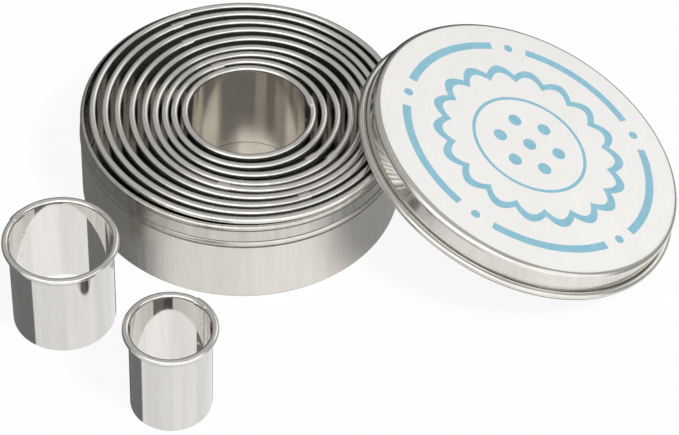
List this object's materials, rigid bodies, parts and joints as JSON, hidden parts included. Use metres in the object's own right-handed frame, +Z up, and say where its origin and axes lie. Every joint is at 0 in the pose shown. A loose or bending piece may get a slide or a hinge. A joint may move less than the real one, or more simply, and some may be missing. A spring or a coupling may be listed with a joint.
{
  "type": "biscuit cutter",
  "caption": "Boxed set of plain round biscuit cutters: straight rings with rolled rims and lapped seams, nested in a round tin whose slip-on lid leans on it.",
  "frame": {"origin": "centre of the tin's base, on the table", "axes": "+Z up the tin's axis, +X towards the lid that leans on the tin, +Y away from the two loose cutters"},
  "size_m": [0.2001, 0.1534, 0.0428],
  "materials": {
    "tin_metal": "satin drawn steel",
    "lid_metal": "satin drawn steel",
    "cutter_metal": "bright polished steel",
    "print_ink": "light blue print"
  },
  "bodies": {
    "tin": {"tin_body": "tin_metal"},
    "lid": {"lid": "lid_metal"},
    "cutter_01": {"cutter_01": "cutter_metal"},
    "cutter_02": {"cutter_02": "cutter_metal"},
    "cutter_03": {"cutter_03": "cutter_metal"},
    "cutter_04": {"cutter_04": "cutter_metal"},
    "cutter_05": {"cutter_05": "cutter_metal"},
    "cutter_06": {"cutter_06": "cutter_metal"},
    "cutter_07": {"cutter_07": "cutter_metal"},
    "cutter_08": {"cutter_08": "cutter_metal"},
    "cutter_09": {"cutter_09": "cutter_metal"},
    "cutter_10": {"cutter_10": "cutter_metal"},
    "cutter_11": {"cutter_11": "cutter_metal"}
  },
  "joints": [
    {"name": "lid_lift", "type": "slide", "parent": "tin", "child": "lid", "axis": [0.3348, 0, 0.9423], "range_m": [0, 0.12]},
    {"name": "cutter_01_lift", "type": "slide", "parent": "tin", "child": "cutter_01", "axis": [0, 0, 1], "range_m": [0, 0.06]},
    {"name": "cutter_02_lift", "type": "slide", "parent": "tin", "child": "cutter_02", "axis": [0, 0, 1], "range_m": [0, 0.06]},
    {"name": "cutter_03_lift", "type": "slide", "parent": "tin", "child": "cutter_03", "axis": [0, 0, 1], "range_m": [0, 0.068]},
    {"name": "cutter_04_lift", "type": "slide", "parent": "tin", "child": "cutter_04", "axis": [0, 0, 1], "range_m": [0, 0.064]},
    {"name": "cutter_05_lift", "type": "slide", "parent": "tin", "child": "cutter_05", "axis": [0, 0, 1], "range_m": [0, 0.06]},
    {"name": "cutter_06_lift", "type": "slide", "parent": "tin", "child": "cutter_06", "axis": [0, 0, 1], "range_m": [0, 0.056]},
    {"name": "cutter_07_lift", "type": "slide", "parent": "tin", "child": "cutter_07", "axis": [0, 0, 1], "range_m": [0, 0.052]},
    {"name": "cutter_08_lift", "type": "slide", "parent": "tin", "child": "cutter_08", "axis": [0, 0, 1], "range_m": [0, 0.048]},
    {"name": "cutter_09_lift", "type": "slide", "parent": "tin", "child": "cutter_09", "axis": [0, 0, 1], "range_m": [0, 0.044]},
    {"name": "cutter_10_lift", "type": "slide", "parent": "tin", "child": "cutter_10", "axis": [0, 0, 1], "range_m": [0, 0.04]},
    {"name": "cutter_11_lift", "type": "slide", "parent": "tin", "child": "cutter_11", "axis": [0, 0, 1], "range_m": [0, 0.036]}
  ],
  "couplings": [
    {"joint": "cutter_07_lift", "follows": "lid_lift", "ratio": 0.43333},
    {"joint": "cutter_08_lift", "follows": "lid_lift", "ratio": 0.4},
    {"joint": "cutter_09_lift", "follows": "lid_lift", "ratio": 0.36667},
    {"joint": "cutter_10_lift", "follows": "lid_lift", "ratio": 0.33333},
    {"joint": "cutter_11_lift", "follows": "lid_lift", "ratio": 0.3}
  ]
}
